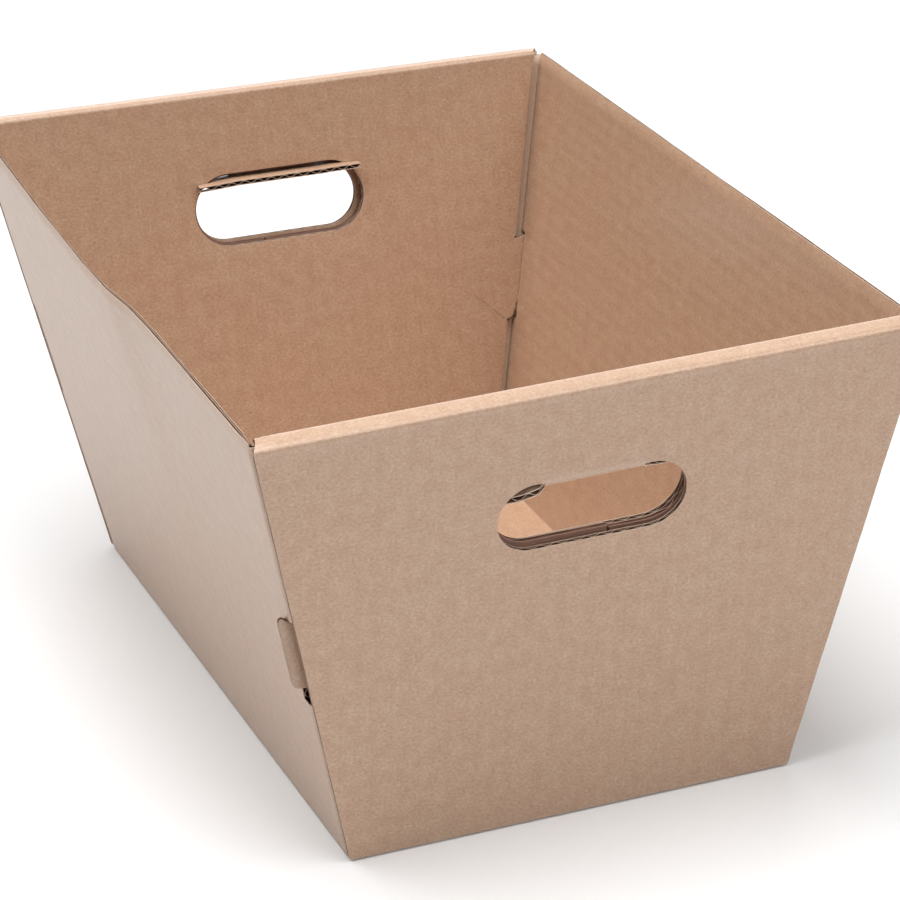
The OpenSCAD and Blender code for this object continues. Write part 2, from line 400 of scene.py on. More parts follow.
def rim_profile():
    """Rise, depth, inward direction and length of the rim: a quarter turn, a flat and a quarter turn."""
    s, c = sin(quarter), cos(quarter)
    level, on = np.ones(3), rim_flat * array([0.25, 0.5, 0.75])
    y = head + bend * join([s, level, c])
    z = join([bend - bend * c, bend + on, stack - bend + bend * s])
    turned = bend * pi / 2
    along = head + join([bend * quarter, turned + on, turned + rim_flat + bend * quarter])
    inwards = join([-s, -level, -c]), join([c, 0 * level, -s])
    return [part[:, None] for part in (y, z, *inwards, along)]


def rim_half(z):
    """Half the width of the rim: its ends run in from the outer panel's edges to the inner panel's."""
    return half_width(head) + (half_panel(head) - half_width(head)) * minimum(z / panel_depth, 1)


# how far the ends of the rim's inner edge stand out, at the front and at the back
rim_flare = {0: 1.8, 180: 0.0}
flare_reach = 14.0


def flared(turn, x, half, share):
    """x of points near the sides of a panel or rim, moved out by a share of the flare."""
    return x + np.sign(x) * rim_flare[turn] * share * ease(abs(x) / half, 0.8, 1)


def rim_leaf(turn, x, wear=0.0):
    """A leaf over the rim's profile, at places across it, with slight dents and pressed ends."""
    y, z, ny, nz, along = rim_profile()
    crush = pressed(rim_half(z) - abs(x), 0.6) * sin(pi * (along - head) / rim_length)
    x = flared(turn, x, rim_half(z), minimum(z / panel_depth, 1))
    dent = 0.12 * ripple(x / 4, turn + 2) * sin(pi * z / stack)
    return leaf(on_end(x, y + dent, z, turn), aim(0 * x, ny, nz, turn, end_lean), (x, along), crush=crush,
                pinch=creased(minimum(z - bend, stack - bend - z)), wear=wear)


def rim(turn):
    """Rim: its profile carried across the tray, painted paler at its creases and on top, partly wear and
    partly a painted highlight of the light from above.
    """
    turns = sin(quarter) + 0.4 * sin(2 * quarter), np.ones(3), cos(quarter)
    return rim_leaf(turn, rim_half(rim_profile()[1]) * across, rim_pale_and_highlight * join(turns)[:, None])


print("rim, mm:", round(rim_length, 2), "over its profile")


# %% Inner panel and lock tabs
def nicked(rise):
    """Half width of the inner panel with the round nicks at the roots of its lock tabs."""
    away = np.min([abs(rise - tab_rise), abs(rise - tab_top)], axis=0)
    return half_panel(rise) - sqrt(maximum(tab_nick**2 - away**2, 0))


nick_steps = tab_nick * array([-1.01, -0.8, -0.4, 0, 0.4, 0.8, 1.01])
tab_rows = join([tab_rise + nick_steps[3:], linspace(tab_rise, tab_top, 12)[1:-1], tab_top + nick_steps[:4]])
panel_rises = join([linspace(panel_foot, tab_rise, 10)[1:-1], tab_rise + nick_steps[:3], tab_rows,
                    tab_top + nick_steps[4:], linspace(tab_top, head, 13)[1:-1]])

# how far the hand hole of the inner panel sits above that of the outer one, at the front and at the back
panel_lift = {0: 1.6, 180: 0.0}
# place of the inner panel's rise 0 on the flat sheet, counted over the rim
over_rim = head + rim_length + head


def beside_tab(y):
    """0 along the root of a lock tab, 1 above and below it."""
    return 1 - ease(y, tab_rise - tab_nick, tab_rise) * ease(-y, -tab_top - tab_nick, -tab_top)


def askew(side, y):
    """How far the cut of the inner panel's edge runs in from its rear to its front: none at the rim."""
    return 0.8 * ease(head - y, 0, 5) * ease(-side, -2.6, -0.2)


def inner_leaf(turn, x, y, sheet_y, crush):
    """A leaf of the inner panel, with its flare, its edges askew and the rim's crease."""
    slip = -np.sign(x) * askew(edge_distance(half_panel, x, y), y) * beside_tab(y)
    x = flared(turn, x, half_panel(y), ease(y, head - flare_reach, head))
    return flat_leaf(turn, x, y, stack, (x, sheet_y), -1, crush=crush, pinch=creased(head - y),
                     slip=aim(slip, 0, 0, turn, end_lean))


def inner_panel(turn):
    """Inner panel: the grid between its hand hole and its nicked outline, pressed but at the tabs' roots."""
    lift = panel_lift[turn]
    x, y = between(hole_loop(panel_hole_margin, lift), panel_loop(panel_foot, head, nicked, panel_rises))
    at_side = pressed(edge_distance(half_panel, x, y), 0.2) * ease(head - y, 0, edge_fade)
    at_hole = pressed(hole_distance(x, y, panel_hole_margin, lift), 0.22)
    return inner_leaf(turn, x, y, over_rim - y, maximum(at_side * beside_tab(y), at_hole))


# how far each lock tab stands out of the side wall, by its end and side
tab_reach = {(0, 1): 4.3, (0, -1): 5.0, (180, 1): 5.0, (180, -1): -3.2}


def tab_edge(share, reach):
    """Free edge of a lock tab by the share up its root: x and rise, with its two corners rounded off."""
    rise = tab_rise + tab_lead + (tab_height + tab_tip - tab_lead) * share
    corner = minimum(share, 1 - share) * (tab_height - tab_lead)
    round_off = tab_corner - sqrt(maximum(tab_corner**2 - maximum(tab_corner - corner, 0) ** 2, 0))
    return half_width(rise, panel_depth) + reach - round_off, rise


def tab_swing(out):
    """How far the tab's lower and upper edges have swung to their tips, by the share of the way out."""
    return ease(out, 0.18, 0.5), out**2


def lock_tab(turn, side):
    """Lock tab: the grid between its root on the panel's edge and its free edge."""
    share = (tab_rows - tab_rise) / tab_height
    tip_x, tip_y = tab_edge(share, tab_reach[turn, side])
    root_x = nicked(tab_rows)
    rows = array([0, 0.25, 0.5, 0.75, 0.9, 1.0])[:, None]
    lead, hook = tab_swing(rows)
    x = side * (root_x + (tip_x - root_x) * rows)
    y = tab_rows + (tip_y - tab_rows) * (lead * (1 - share) + hook * share)
    crush = pressed((1 - rows) * (tip_x - root_x), 0.35 + 0.15 * ripple(y, turn))
    return flat_leaf(turn, x, y, stack, (x, over_rim - y), -1, crush=crush)


print("lock tabs reach out, mm:", *tab_reach.values())

# %% Tongues, and all leaves of an end
tongue_bend = board + tongue_radius
tongue_arc = (tongue_bend - board / 2) * pi / 2
tongue_crush, jam_crush = 0.25, {0: 0.35, 180: 0.0}
bent_rows, flat_rows = linspace(0, tongue_arc, arc_steps), linspace(tongue_arc, hole_radius, 14)[1:]
free_rows = tongue_arc * linspace(0, 1, 10) ** 2

# how the pushed-in tongue is out of level at places across it, and how far its two ends hang, by end
sag_places = array([-40.0, -30.0, -fold_half, fold_half, fold_half + 2, 28.0, 36.0, 40.0])
tongue_sag = {0: array([0.9, 0.9, 2.2, 1.4, -1.2, -2.6, -6.0, -7.6]),
              180: array([-0.9, -0.5, 0, 0, 0.1, 0.2, 0.2, 0.2])}
ends_hang = {(0, 1): 3.0, (0, -1): -0.3, (180, 1): 0.0, (180, -1): 0.0}


def tongue_half(turn, side, s):
    """Half the width of the tongue: a quarter round beside its hinge, nicked where it passes the layers."""
    z, hang = tongue_place(side, s)[1], ends_hang.get((turn, side), 0.0)
    full = hinge_half + sqrt(maximum(hole_radius**2 - (hole_radius - s) ** 2, 0))
    for depth, margin in ((flap_depth, flap_hole_margin), (panel_depth, panel_hole_margin)):
        room = hinge_half + sqrt((hole_radius + margin) ** 2 - (hole_radius - tongue_radius - hang) ** 2)
        passing = abs(z - depth - board / 2) < board / 2 + tongue_clearance
        full = np.where(passing, minimum(full, room - tongue_clearance), full)
    return full


def tongue_place(side, s):
    """y, z and the inward direction of the tongue's underside by its length from the hinge: an arc and then
    straight in the middle, side 0, and straight all the way at its ends, which are cut free."""
    if side:
        return hole_top - tongue_bend + 0 * s, tongue_bend - tongue_arc + s, 1 + 0 * s, 0 * s
    angle = minimum(s / tongue_arc, 1) * pi / 2
    z = tongue_bend - tongue_bend * cos(angle) + maximum(s - tongue_arc, 0)
    return hole_top - tongue_bend * sin(angle), z, sin(angle), cos(angle)


def tongue_leaf(turn, side, x, s, sheet_y, wear=0.0):
    """A leaf of the tongue: out of level by its place across, crushed at its edge and where it is jammed."""
    y, z, ny, nz = tongue_place(side, s)
    sag = np.interp(x, sag_places, tongue_sag[turn]) * (1 if side else minimum(s / tongue_arc, 1))
    jammed = jam_crush[turn] * ease(-x, fold_half, fold_half + 3)
    return leaf(on_end(x, y + sag, z, turn), aim(0 * x, ny, nz, turn, end_lean), (x, sheet_y),
                crush=maximum(pressed(hole_radius - s, tongue_crush), jammed), wear=wear)


def tongue(turn):
    """Tongue: its middle is a bent strip, and its ends reach from the strip's edges to tongue_half."""
    parts = []
    for side, first in ((0, bent_rows), (-1, free_rows), (1, free_rows)):
        s = join([first, flat_rows])[:, None]
        x, wear = hinge_columns + 0 * s, np.where(s < tongue_arc, sin(pi * s / tongue_arc), 0)
        if side:
            reach = (tongue_half(turn, side, s) - fold_half) * linspace(0, 1, 12)
            x, wear = side * (fold_half + reach), 0.0
        parts.append(tongue_leaf(turn, side, x, s, hole_top - s, wear))
    return parts


def end_leaves(turn):
    """All leaves of an end: floor fold, outer panel, rim, inner panel, lock tabs and tongue."""
    wall_half = half_width(foot_rise)
    fold = floor_fold(turn, across, bottom_length, end_lean, end_turn, floor_half_width, wall_half)
    tabs = [lock_tab(turn, side) for side in (1, -1)]
    return [fold, outer_panel(turn), rim(turn), inner_panel(turn), *tabs, *tongue(turn)]


end_parts = [*end_leaves(0), *end_leaves(180)]
print("leaves of the ends:", len(end_parts))

# %% [markdown]
# ## Side walls, corner flaps and floor
# A side wall is a single thickness with a raw top edge. Next to each corner fold it has a slot for a lock
# tab: those cells of the grid are left out. The corner fold is an arc about the slanted corner line, worked
# out by turning the wall's inward direction into the flap's. The flap then runs round the hand hole.

# %% Side walls
wall_foot = setback(side_turn)
corner_low, corner_high = (board + floor_gap) / cos(side_lean), side_slant - corner_drop
slot_low = end_z(tab_rise, panel_depth) / cos(side_lean)
slot_high = end_z(tab_top + tab_hook, stack) / cos(side_lean) + slot_clearance
wall_rises = join([
    [wall_foot], linspace(corner_low, slot_low, 10), linspace(slot_low, slot_high, 8)[1:],
    linspace(slot_high, side_slant - edge_fade, 9)[1:],
    [side_slant - edge_steps[-1], corner_high, side_slant]])
in_slot = (wall_rises[:-1] >= slot_low - 0.01) & (wall_rises[1:] <= slot_high + 0.01)
slit_width = 2.6


def wall_end(rise):
    """Half the length of a side wall, up to where its corner folds begin."""
    return half_length(rise, flap_depth) - setback(corner_turn) / cos(side_edge)


def slot_end(rise):
    """Half the length of a side wall between its lock slots."""
    return half_length(rise, stack + slot_clearance)


def wall_x(rise):
    """x of the wall's grid: the middle between the slots, and two more columns at each end."""
    rise = np.asarray(rise)[:, None]
    ends = wall_end(rise) - array([slit_width, 0.0])
    return join([-ends[:, ::-1], slot_end(rise) * linspace(-1, 1, 61), ends], 1)


wall_shares = wall_x([wall_foot])[0] / wall_end(wall_foot)


def worn_edge(x, turn):
    """Crush of a raw top edge: more towards the back and the corners, with uneven dents."""
    toward_back = x if turn == 270 else -x
    corner = wall_end(side_slant) - abs(x)
    amount = 0.42 + 0.3 * ease(toward_back, -70, 0) + 0.13 * ripple(x / 3, turn)
    return minimum(amount + 0.4 * (1 - ease(corner, 1, 14)), 0.85)


# how far the top edge of each side wall bulges out at places along it, from one end to the other
bulge_places = array([-190.0, -70, -45, -20, 10, 75, 155, 190])
top_bulge = {90: np.zeros(8), 270: array([0.0, 0.4, 1.2, 3.6, 4.3, 3.7, 1.9, 0.0])}


def wall_leaf(turn, x, y, **options):
    """A leaf of a side wall: bulging out with the square of the rise, and crushed along its top edge."""
    bulge = np.interp(x, bulge_places, top_bulge[turn]) * (y / side_slant) ** 2
    return leaf(on_side(x, y, -bulge, turn), aim(0, 0, 1, turn, side_lean), (y, x),
                crush=pressed(side_slant - y, worn_edge(x, turn)), shift=side_shift, **options)


def side_wall(turn):
    """Side wall: rows up the slant, columns along it, without the cells of the two slots. The back-left slot
    has closed up to a slit."""
    x, y = wall_x(wall_rises), np.repeat(wall_rises[:, None], len(wall_shares), 1)
    keep = np.ones((len(wall_rises) - 1, x.shape[1] - 1), bool)
    keep[in_slot, :2] = keep[in_slot, -2:] = False
    keep[in_slot, -2] = turn == 270
    return wall_leaf(turn, x, y, keep=keep, cut=0.3)


side_parts = []
for turn in (90, 270):
    fold = floor_fold(turn, wall_shares, bottom_width, side_lean, side_turn, floor_half_length,
                      wall_end(wall_foot))
    side_parts += [fold, side_wall(turn)]
print("slots up each side wall, mm:", round(slot_low, 1), "to", round(slot_high, 1))


# %% Corner folds, corner flaps and floor
def corner_fold(end, side, sign):
    """Corner fold: the inward direction turns evenly from the wall's to the flap's, about a slanted axis."""
    rises = wall_rises[:-1]
    along = -sign * wall_end(rises)
    wall_in, flap_in = aim(0, 0, 1, side, side_lean), aim(0, 0, 1, end, end_lean)
    axis = on_side(along, rises, 0 * rises, side) + bend * wall_in
    t = linspace(0, 1, arc_steps)
    to_flap = t[None, :, None]
    into = sin((1 - to_flap) * corner_turn) * wall_in + sin(to_flap * corner_turn) * flap_in
    into = into / sin(corner_turn)
    flat = rises[:, None], along[:, None] - sign * bend * corner_turn * t
    return leaf(axis[:, None] - bend * into, into, flat, wear=corner_wear * sin(pi * t),
                crush=pressed(side_slant - rises, worn_edge(along, side))[:, None],
                keep=np.repeat(~in_slot[:-1, None] | (end == 180), arc_steps - 1, 1), shift=side_shift)


# how far the hand hole of each corner flap sits above that of the outer panel, by its end and side
flap_lift = {(0, 1): 2.4, (0, -1): 1.4, (180, 1): 0.0, (180, -1): 0.0}


def flap_grid(outline, lift):
    """Grid of a corner flap, from half of the hand hole to its foot, corner fold and top. outline: x and y up
    the corner fold, and x of the joint with the other flap."""
    fold_x, fold_y, joint = outline
    radius = hole_radius + flap_hole_margin
    count, arcs = 14, len(fold_x)
    low = linspace(-pi / 2, -pi / 4, 7)[1:]
    turn = join([low[:-1], linspace(-pi / 4, pi / 4, arcs), -low[-2::-1]])
    run = linspace(joint, hinge_half, count - len(low) + 2)
    level = np.ones(len(run))
    inner_x = join([run, hinge_half + radius * cos(turn), run[::-1]])
    inner_y = hole_rise + lift + radius * join([-level, sin(turn), level])
    spare = (len(inner_x) - arcs) // 2
    way = linspace(0, 1, spare + 1)[:-1]
    foot, top = joint + (fold_x[0] - joint) * way, joint + (fold_x[-1] - joint) * way
    outer_x = join([foot, fold_x, top[::-1]])
    outer_y = join([np.full(spare, fold_y[0]), fold_y, np.full(spare, fold_y[-1])])
    return between((inner_x, inner_y), (outer_x, outer_y), 5)


def flap_leaf(end, sign, x, y, crush, **options):
    """A leaf of a corner flap, one layer behind the outer panel."""
    return flat_leaf(end, sign * x, y, flap_depth, (y, sign * x), crush=crush, shift=side_shift, **options)


def corner_flap(end, fold, sign, outline):
    """Corner flap: painted pale beside its fold, painted light on the strip of flap that lies in shade beside
    the inner panel's edge, and torn along the edge of the hand hole.
    """
    lift = flap_lift[end, sign]
    x, y = flap_grid(outline, lift)
    fold_x, fold_y, _ = outline
    to_fold = np.interp(y, fold_y, fold_x) - x
    to_hole = hole_distance(x, y, flap_hole_margin, lift)
    at_fold = np.interp(y, fold_y, fold.crush[1:, -1]) * (1 - ease(to_fold, 0, edge_fade))
    crush = maximum(pressed(to_hole, 0.1 + 0.1 * ripple(x, end + sign)), at_fold)
    torn = ease(-to_hole, -3.4 - 0.6 * ripple(x, sign), -2.2)
    # Painted light: pale within about 6 mm of the corner fold, to lighten the strip that lies in shade there;
    # torn brown round the hand hole.
    return flap_leaf(end, sign, x, y, crush, wear=1 - ease(to_fold, 1, 6) - torn, cut=-0.4)


corner_parts, outlines = [], {}
for end, sign in flap_lift:
    fold = corner_fold(end, (end + (270 if sign > 0 else 90)) % 360, sign)
    fold_x, fold_y = lay_flat(fold.base[1:, -1], end, bottom_length, end_lean)
    outlines[end, sign] = sign * fold_x, fold_y, -sign * flap_joint + flap_joint_gap / 2
    corner_parts += [fold, corner_flap(end, fold, sign, outlines[end, sign])]
# the lines of the floor's grid meet those of its folds
x, y = np.meshgrid(floor_half_width * across, floor_half_length * wall_shares)
floor_leaf = leaf(np.stack([x, y, 0 * x], -1), array([0.0, 0, 1]), (x, y))
print("corner flaps:", len(outlines))

# %% [markdown]
# ## The two liners
# The same leaves give both liners: a thin skin just under the outer face and one just above the inner face.

# %% Liners
liner = 0.36
leaves = [*end_parts, *side_parts, floor_leaf, *corner_parts]
liners = [weld([slab(part, near, near + liner) for part in leaves]) for near in (0.0, board - liner)]
print("liner faces:", [len(skin.faces) for skin in liners])

# %% [markdown]
# ## The fluting
# The fluting is a sine wave between the liners. Its flutes run along the tray in the sides, round the corners
# into the flaps, and up the ends. Each flute is straight, so a column of the grid needs only a few points:
# those at its two cut ends, where the board is pressed. The floor has no cut edge, so it needs no fluting.

# %% Fluting of the ends
pitch, fluting, liner_gap, inset = 6.5, 0.32, 0.04, 0.3
wave_height = board / 2 - liner - fluting / 2 - liner_gap


def wave(u):
    """Depth of the fluting's middle by the distance across the flutes: half the board plus a sine."""
    return board / 2 + wave_height * sin(2 * pi * u / pitch)


def fine(low, high):
    """Evenly spaced places across the flutes, twelve to a flute."""
    return linspace(low, high, max(int((high - low) / pitch * 12), 2))


def run_rows(low, high):
    """Rows from low to high, with extra ones near both cut ends."""
    near = minimum(edge_steps[:, None], (high - low) * array([0, 0.15, 0.3])[:, None])
    return join([low + near, high - near[::-1]])


def flute_slab(part, u):
    """The slab of fluting in a leaf, with its wave across u."""
    return slab(part, wave(u) - fluting / 2, wave(u) + fluting / 2)


def hole_half_height(u, margin):
    """Half the height of a hand hole by the distance from its middle."""
    return sqrt(maximum((hole_radius + margin) ** 2 - maximum(abs(u) - hinge_half, 0) ** 2, 0))


def panel_flutes(turn, outer):
    """Fluting of an end panel: columns up the panel, cut off by its slanted edges and by the hand hole."""
    foot, half, margin, lift = panel_foot, half_panel, panel_hole_margin, panel_lift[turn]
    if outer:
        foot, half, margin, lift = foot_rise, half_width, 0.0, 0.0
    slabs = []
    hole_end = hinge_half + hole_radius + margin
    slope = (half(head) - half(foot)) / (head - foot)
    widest = half(head) - inset
    beside, middle = fine(hole_end, widest), fine(-hole_end, hole_end)
    for number, u in enumerate((fine(-widest, -hole_end), beside, middle, middle)):
        low = maximum(foot, foot + (abs(u) - half(foot)) / slope)
        top = np.full(len(u), head)
        if number == 2:
            top = hole_rise + lift - hole_half_height(u, margin)
        if number == 3:
            low = hole_rise + lift + hole_half_height(u, margin)
        y = run_rows(low, top)
        x = np.broadcast_to(u, y.shape)
        side = edge_distance(half, x, y)
        at_hole = pressed(hole_distance(x, y, margin, lift), 0.25)
        if outer:
            at_side = pressed(side, 0.3) * ease(minimum(y - foot, head - y), 0, edge_fade)
            part = outer_leaf(turn, x, y, maximum(at_side, at_hole * off_hinge(x, y)))
        else:
            part = inner_leaf(turn, x, y, y, maximum(pressed(side, 0.2) * beside_tab(y), at_hole))
        slabs.append(flute_slab(part, u))
    return slabs


def tongue_flutes(turn):
    """Fluting of a tongue: columns along it, from its hinge or its round ends to its free edge."""
    slabs = []
    widest = hinge_half + hole_radius - 0.4
    for side in (0, -1, 1):
        u = side * fine(fold_half, widest) if side else fine(-fold_half, fold_half)
        low = hole_radius - hole_half_height(u, 0)
        s = low + (hole_radius - low) * linspace(0, 1, 14)[:, None]
        half = tongue_half(turn, side, s)
        part = tongue_leaf(turn, side, np.clip(u, -half, half), s, tongue_place(side, s)[0])
        slabs.append(flute_slab(part, u))
    return slabs


def rim_flutes(turn):
    """Fluting of a rim: the wave across the tray, carried over the rim's profile."""
    u = fine(-half_panel(head) + 0.5, half_panel(head) - 0.5)
    return [flute_slab(rim_leaf(turn, u * (rim_half(rim_profile()[1]) - inset) / half_panel(head)), u)]


def tab_flutes(turn, side):
    """Fluting of a lock tab: columns from its lower edge to its upper edge, outside the panel's edge."""
    tip_x, tip_y = tab_edge(array([0.0, 1.0]), tab_reach[turn, side])
    low_root, high_root = half_panel(tab_rise), half_panel(tab_top)
    u = fine(low_root + 0.4, tip_x.min() - 0.2)
    lead = tab_swing((u - low_root) / (tip_x[0] - low_root))[0]
    hook = tab_swing(maximum(u - high_root, 0) / (tip_x[1] - high_root))[1]
    low = tab_rise + (tip_y[0] - tab_rise) * lead
    top = tab_top + (tip_y[1] - tab_top) * hook
    slope = (high_root - low_root) / tab_height
    top = minimum(top, tab_rise + (u - low_root) / slope + 0.5)
    wide = top - low > 0.5
    u, low, top = u[wide], low[wide], top[wide]
    y = run_rows(low + 0.1, top - 0.1)
    x = side * np.broadcast_to(u, y.shape)
    part = flat_leaf(turn, x, y, stack, (x, y), -1, crush=pressed(tip_x.min() - abs(x), 0.3))
    return [flute_slab(part, side * u)]


end_slabs = []
for turn in (0, 180):
    end_slabs += panel_flutes(turn, True) + panel_flutes(turn, False) + tongue_flutes(turn)
    end_slabs += rim_flutes(turn) + tab_flutes(turn, 1) + tab_flutes(turn, -1)
end_core = weld(end_slabs)
print("faces of the ends' fluting:", len(end_core.faces))


# %% Fluting of the sides and corner flaps
def wall_flutes(turn):
    """Fluting of a side wall: the wave up the slant, each flute from end to end, shorter beside the slots."""
    slabs = []
    shares = join([[-1, -0.99], linspace(-0.96, 0.96, 33), [0.99, 1]])
    bands = ((wall_foot, slot_low, wall_end), (slot_low, slot_high, slot_end),
             (slot_high, side_slant - 0.15, wall_end))
    for low, top, end in bands:
        y = fine(low, top)[:, None]
        x = end(y) * shares
        y = y + 0 * x
        slabs.append(flute_slab(wall_leaf(turn, x, y), y))
    return slabs


def flap_flutes(end, sign, outline):
    """Fluting of a corner flap: the wave up it, each flute from the hand hole or the joint to the corner."""
    fold_x, fold_y, joint = outline
    lift = flap_lift[end, sign]
    radius, middle = hole_radius + flap_hole_margin, hole_rise + lift
    slabs = []
    bands = ((fold_y[0], middle - radius), (middle - radius, middle + radius), (middle + radius, fold_y[-1]))
    for number, (low, top) in enumerate(bands):
        y = fine(low, top)
        start = np.full(len(y), joint)
        if number == 1:
            start = hinge_half + sqrt(maximum(radius**2 - (y - middle) ** 2, 0))
        x = run_rows(start, np.interp(y, fold_y, fold_x) - inset).T
        y = y[:, None] + 0 * x
        crush = pressed(hole_distance(x, y, flap_hole_margin, lift), 0.1)
        slabs.append(flute_slab(flap_leaf(end, sign, x, y, crush), y))
    return slabs


def torn_band(end, sign, joint):
    """Fluting torn along the lower edge of a flap's hand hole: an uneven edge, carried through the board."""
    angle = join([np.full(40, -pi / 2), linspace(-pi / 2, 0.1, 25)[1:]])
    centre = join([linspace(joint, hinge_half, 40), np.full(24, hinge_half)])
    back = hole_radius + flap_hole_margin + 0.45 + 0.3 * ripple(centre * 1.3 + angle * 9, end + sign)
    depth = array([liner, 1.1, 1.9, board - liner])[:, None]
    x = sign * (centre + back * cos(angle)) + 0 * depth
    y = hole_rise + flap_lift[end, sign] + back * sin(angle) + 0 * depth
    into = aim(sign * cos(angle) + 0 * depth, sin(angle) + 0 * depth, 0, end, end_lean)
    part = leaf(on_end(x, y, flap_depth + depth + 0 * x, end), into, (x, y + depth), shift=side_shift)
    return slab(part, 0.0, fluting)


side_slabs = wall_flutes(90) + wall_flutes(270)
for (end, sign), outline in outlines.items():
    side_slabs += flap_flutes(end, sign, outline) + [torn_band(end, sign, outline[2])]
side_core = weld(side_slabs)
print("faces of the sides' fluting:", len(side_core.faces))

# %% [markdown]
# ## Finishes
# Kraft paper is a matt tan of pressed fibres: fine speckle, soft blotches of a redder and a greener brown,
# fibres across the flutes, and a faint relief of the flutes, whose lines are also painted into the colour as
# a faint painted shade. Folds and cut edges are paler, and torn edges darker and rougher. The rim and the
# crease above the outer panel are painted paler still, a painted highlight of the light from above, and each
# corner flap is painted pale beside its fold, painted light on a strip that lies in shade. The patterns read
# the
# `blank` map, which is each face's place on the flat sheet, so they follow every fold. A small class lets the
# shader's maths be written as ordinary expressions.


# %% Shader maths
class Value:
    """A socket of a shader that adds its Math nodes as an expression is written."""

    def __init__(self, tree, socket):
        self.tree, self.socket = tree, socket

    def node(self, kind, settings=None, output=0, **inputs):
        """Adds any node: its settings first, then the values or links of its sockets, by name or number."""
        made = self.tree.nodes.new(kind)
        for name, value in (settings or {}).items():
            setattr(made, name, value)
        for name, value in inputs.items():
            number = name.lstrip("_")
            socket = made.inputs[int(number) if number.isdigit() else name.replace("_", " ")]
            if isinstance(value, Value):
                self.tree.links.new(value.socket, socket)
            else:
                socket.default_value = value
        return Value(self.tree, made.outputs[output])

    def maths(self, operation, first, second=0.0):
        return self.node("ShaderNodeMath", {"operation": operation}, _0=first, _1=second)

    def __add__(self, other):
        return self.maths("ADD", self, other)

    def __mul__(self, other):
        return self.maths("MULTIPLY", self, other)

    __radd__, __rmul__ = __add__, __mul__

    def noise(self, scale, detail=2.0, roughness=0.5):
        """Noise between 0 and 1 on this vector, its lumps about 1/scale across."""
        return self.node("ShaderNodeTexNoise", {"noise_dimensions": "3D"}, Vector=self, Scale=scale,
                         Detail=detail, Roughness=roughness)

    def stretch(self, x, y):
        """This vector scaled along its two axes."""
        return self.node("ShaderNodeMapping", Vector=self, Scale=(x, y, 1.0))

    def mix(self, first, second):
        """Colour from first to second by this factor."""
        return self.node("ShaderNodeMix", {"data_type": "RGBA"}, 2, _0=self, _6=first, _7=second)

    def ramp(self, low, high):
        """0 below low, 1 above high, straight between."""
        return self.node("ShaderNodeMapRange", _0=self, _1=low, _2=high, _3=0.0, _4=1.0)


def rgb(red, green, blue):
    """A colour given by its eye values from 0 to 255, as the linear light that the shader wants."""
    shares = array([red, green, blue]) / 255
    return (*np.where(shares > 0.04045, ((shares + 0.055) / 1.055) ** 2.4, shares / 12.92), 1.0)


print("middle grey as light:", round(rgb(128, 128, 128)[0], 3))

# %% Kraft liner and fluting paper
# lumps to a metre, evenness of the tan, and the height of the tooth and of the flute lines
blotch_scale, cloud_scale, fibre_scale, grain_scale = 140.0, 24.0, 1600.0, 800.0
evenness, tooth_height, line_relief = 0.55, 0.0004, 0.9


def paper(name, tan, red, green, pale, torn, speckle, roughness, bump, gloss):
    """A sheet of kraft paper: blotches of three browns, speckle, fibres, paler folds, and a fine tooth, with
    painted highlight and painted light where the mesh's paleness asks for it and a faint painted shade along
    the flutes.
    """
    material = bpy.data.materials.new(name)
    material.use_nodes = True
    tree = material.node_tree
    shader = tree.nodes["Principled BSDF"]
    start = Value(tree, None)
    sheet = start.node("ShaderNodeUVMap", {"uv_map": "blank"})
    wear = start.node("ShaderNodeAttribute", {"attribute_name": "wear"}, 2)
    torn_share = wear * -1.0
    blotch = sheet.noise(blotch_scale, 3.0).ramp(0.3, 0.7)
    cloud = sheet.noise(cloud_scale, 2.0).ramp(0.3, 0.7)
    colour = (blotch * 0.5 + cloud * 0.5).mix(red, green)
    colour = start.node("ShaderNodeMix", {"data_type": "RGBA"}, 2, _0=evenness, _6=colour, _7=tan)
    fibre = sheet.stretch(0.35, 1.0).noise(fibre_scale, 2.0, 0.6)
    grain = sheet.noise(grain_scale, 2.0, 0.65)
    fleck = (grain * 0.6 + fibre * 0.4).ramp(0.3, 0.7)
    place = start.node("ShaderNodeSeparateXYZ", Vector=sheet)
    lines = start.maths("SINE", place * (2 * pi / (pitch * MM))) * 0.5 + 0.5
    # The fleck and the blotches are the paper's own tone; the flute lines tint the colour too, a faint
    # painted shade of the flutes' relief.
    for pattern, amount in ((fleck, speckle), (blotch, 0.22 * speckle), (lines, 0.05 * speckle)):
        tint = amount * array([1.0, 1.2, 1.4, 0.0])
        colour = start.node("ShaderNodeVectorMath", {"operation": "MULTIPLY"}, _0=colour,
                            _1=pattern.mix(1 - tint, 1 + tint))
    # The paleness attribute mixes in the pale colour, for folds and cut edges and also as painted highlight
    # and painted light, and the torn colour below 0.
    colour = (wear * 0.5).mix(torn_share.mix(colour, torn), pale)
    tree.links.new(colour.socket, shader.inputs["Base Color"])
    rough = fleck * 0.1 + (roughness - 0.05) + torn_share.ramp(0.0, 0.4) * 0.5
    tree.links.new(rough.socket, shader.inputs["Roughness"])
    relief = fibre * 0.5 + grain * 0.5 + lines * line_relief
    tooth = start.node("ShaderNodeBump", Strength=bump, Distance=tooth_height, Height=relief)
    tree.links.new(tooth.socket, shader.inputs["Normal"])
    shader.inputs["Specular IOR Level"].default_value = gloss
    return material


